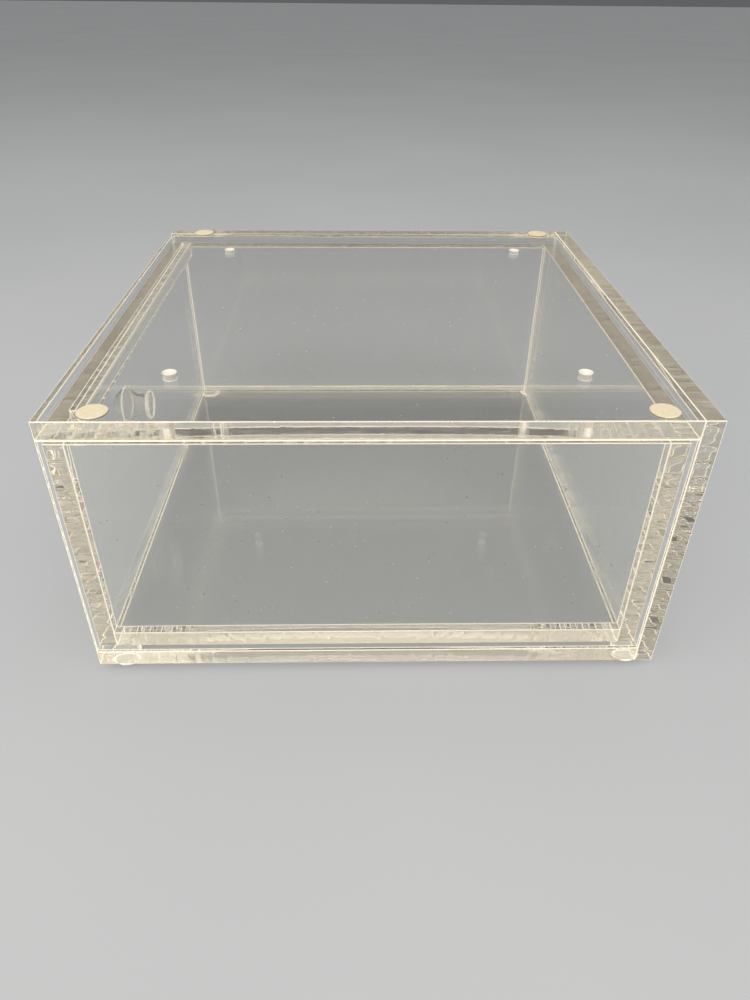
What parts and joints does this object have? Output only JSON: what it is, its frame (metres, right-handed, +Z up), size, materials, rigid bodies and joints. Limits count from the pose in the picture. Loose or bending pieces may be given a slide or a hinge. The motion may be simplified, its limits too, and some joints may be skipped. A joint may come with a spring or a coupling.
{
  "type": "display case",
  "caption": "Clear acrylic display case for a small football: a thick-walled shell on bumper feet, with a clear tray that slides out of its open side on a round knob.",
  "frame": {"origin": "centre of the whole object's footprint (shell and knob together) at the bottom of the feet", "axes": "+Z up; +X along the case's width, away from the knob and the open side; +Y towards the back wall, away from the thin front pane"},
  "size_m": [0.3282, 0.3048, 0.1579],
  "materials": {
    "acrylic": "clear, polished faces and sawn, flame-polished edges",
    "knob_acrylic": "clear, moulded and polished",
    "foot_rubber": "clear soft bumper",
    "pad_foam": "cream, matte, self-adhesive"
  },
  "bodies": {
    "shell": {"top_plate": "acrylic", "base_plate": "acrylic", "right_wall": "acrylic", "back_wall": "acrylic", "front_pane": "acrylic", "stop_bar": "acrylic", "foot_front_left": "foot_rubber", "foot_front_right": "foot_rubber", "foot_back_left": "foot_rubber", "foot_back_right": "foot_rubber", "pad_front_left": "pad_foam", "pad_front_right": "pad_foam", "pad_back_left": "pad_foam", "pad_back_right": "pad_foam"},
    "tray": {"tray_front": "acrylic", "tray_rear": "acrylic", "tray_side_near": "acrylic", "tray_side_far": "acrylic", "tray_floor": "acrylic", "pull_knob": "knob_acrylic"}
  },
  "joints": [
    {"name": "tray_slide", "type": "slide", "parent": "shell", "child": "tray", "axis": [-1, 0, 0], "range_m": [0, 0.267]}
  ]
}
